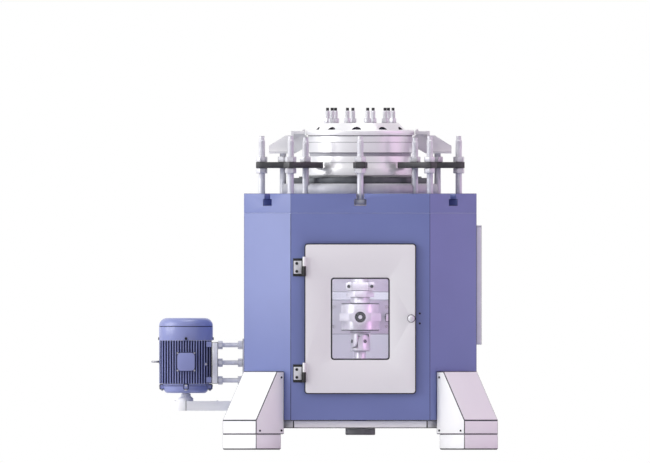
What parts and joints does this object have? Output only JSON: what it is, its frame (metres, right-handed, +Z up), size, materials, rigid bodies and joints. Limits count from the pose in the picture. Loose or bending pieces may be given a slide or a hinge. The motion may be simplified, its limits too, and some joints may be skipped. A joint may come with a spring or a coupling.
{
  "type": "rotary bending test bench",
  "caption": "Wheel fatigue bench: a rim clamped on a slotted table, with a belt-driven rotating load head hanging from its hub inside a steel cabinet.",
  "frame": {"origin": "on the floor, under the middle of the bench's bounding box", "axes": "+Z up, +X towards the side cover (the motor is on -X), -Y towards the door"},
  "size_m": [1.7698, 1.4054, 1.7443],
  "materials": {
    "blue_paint": "satin blue machine enamel on welded steel",
    "grey_paint": "light grey powder coat",
    "white_paint": "white powder coat",
    "motor_paint": "lilac blue motor enamel",
    "wheel_paint": "silver white wheel paint",
    "black_steel": "blackened steel bar",
    "dark_steel": "dark machined steel",
    "machined_steel": "fine turned steel",
    "plated_steel": "bright zinc plated steel",
    "belt_rubber": "black rubber belt",
    "clear_glass": "clear flat safety glass",
    "pale_plastic": "polished pale ball knob"
  },
  "bodies": {
    "frame": {"cabinet_shell": "blue_paint", "tslot_table": "blue_paint", "base_plate": "grey_paint", "side_cover": "white_paint", "hinge_leaf_lower": "plated_steel", "hinge_leaf_upper": "plated_steel", "motor_stud_pad": "plated_steel", "motor_mount_plate": "white_paint", "motor_frame": "motor_paint", "motor_fan_cowl": "motor_paint", "motor_end_shield": "motor_paint", "terminal_box": "motor_paint", "lifting_eye": "plated_steel", "belt_guard": "white_paint", "drive_belt": "belt_rubber", "spindle_housing": "dark_steel", "lower_bearing_cap": "dark_steel", "load_shaft": "machined_steel", "split_clamp": "machined_steel", "load_hub": "plated_steel", "test_wheel": "wheel_paint", "rim_seat": "dark_steel", "pedestal_ring": "machined_steel", "leg_front_right": "white_paint", "foot_front_right": "white_paint", "leg_rear_right": "white_paint", "foot_rear_right": "white_paint", "leg_rear_left": "white_paint", "foot_rear_left": "white_paint", "leg_front_left": "white_paint", "foot_front_left": "white_paint"},
    "door": {"door_panel": "grey_paint", "door_glass": "clear_glass", "door_knob": "pale_plastic"},
    "spindle": {"spindle_shaft": "machined_steel", "spindle_pulley": "machined_steel", "ujoint_lower_yoke": "machined_steel", "ujoint_cross": "machined_steel", "ujoint_upper_yoke": "machined_steel", "load_head": "machined_steel", "load_band": "machined_steel"},
    "rotor": {"motor_rotor": "machined_steel"},
    "clamp_1": {"clamp_carriage_1": "plated_steel", "clamp_strap_1": "black_steel", "rim_arm_right": "grey_paint"},
    "clamp_2": {"clamp_carriage_2": "plated_steel", "clamp_strap_2": "black_steel"},
    "clamp_3": {"clamp_carriage_3": "plated_steel", "clamp_strap_3": "black_steel"},
    "clamp_4": {"clamp_carriage_4": "plated_steel", "clamp_strap_4": "black_steel"},
    "clamp_5": {"clamp_carriage_5": "plated_steel", "clamp_strap_5": "black_steel", "rim_arm_left": "grey_paint"},
    "clamp_6": {"clamp_carriage_6": "plated_steel", "clamp_strap_6": "black_steel"},
    "clamp_7": {"clamp_carriage_7": "plated_steel", "clamp_strap_7": "black_steel"},
    "clamp_8": {"clamp_carriage_8": "plated_steel", "clamp_strap_8": "black_steel"}
  },
  "joints": [
    {"name": "door_hinge", "type": "hinge", "parent": "frame", "child": "door", "pos_m": [-0.10337, -0.6273, 0.665], "axis": [0, 0, -1], "range_deg": [0, 110]},
    {"name": "spindle_spin", "type": "hinge", "parent": "frame", "child": "spindle", "pos_m": [0.18213, 0, 0.553], "axis": [0, 0, 1], "continuous": true},
    {"name": "motor_spin", "type": "hinge", "parent": "frame", "child": "rotor", "pos_m": [-0.70688, 0, 0.45], "axis": [0, 0, 1], "continuous": true},
    {"name": "clamp_slide_1", "type": "slide", "parent": "frame", "child": "clamp_1", "axis": [1, 0, 0], "range_m": [0, 0.06]},
    {"name": "clamp_slide_2", "type": "slide", "parent": "frame", "child": "clamp_2", "axis": [0.7071, 0.7071, 0], "range_m": [0, 0.06]},
    {"name": "clamp_slide_3", "type": "slide", "parent": "frame", "child": "clamp_3", "axis": [0, 1, 0], "range_m": [0, 0.06]},
    {"name": "clamp_slide_4", "type": "slide", "parent": "frame", "child": "clamp_4", "axis": [-0.7071, 0.7071, 0], "range_m": [0, 0.06]},
    {"name": "clamp_slide_5", "type": "slide", "parent": "frame", "child": "clamp_5", "axis": [-1, 0, 0], "range_m": [0, 0.06]},
    {"name": "clamp_slide_6", "type": "slide", "parent": "frame", "child": "clamp_6", "axis": [-0.7071, -0.7071, 0], "range_m": [0, 0.06]},
    {"name": "clamp_slide_7", "type": "slide", "parent": "frame", "child": "clamp_7", "axis": [0, -1, 0], "range_m": [0, 0.06]},
    {"name": "clamp_slide_8", "type": "slide", "parent": "frame", "child": "clamp_8", "axis": [0.7071, -0.7071, 0], "range_m": [0, 0.06]}
  ],
  "couplings": [
    {"joint": "motor_spin", "follows": "spindle_spin", "ratio": 1}
  ]
}
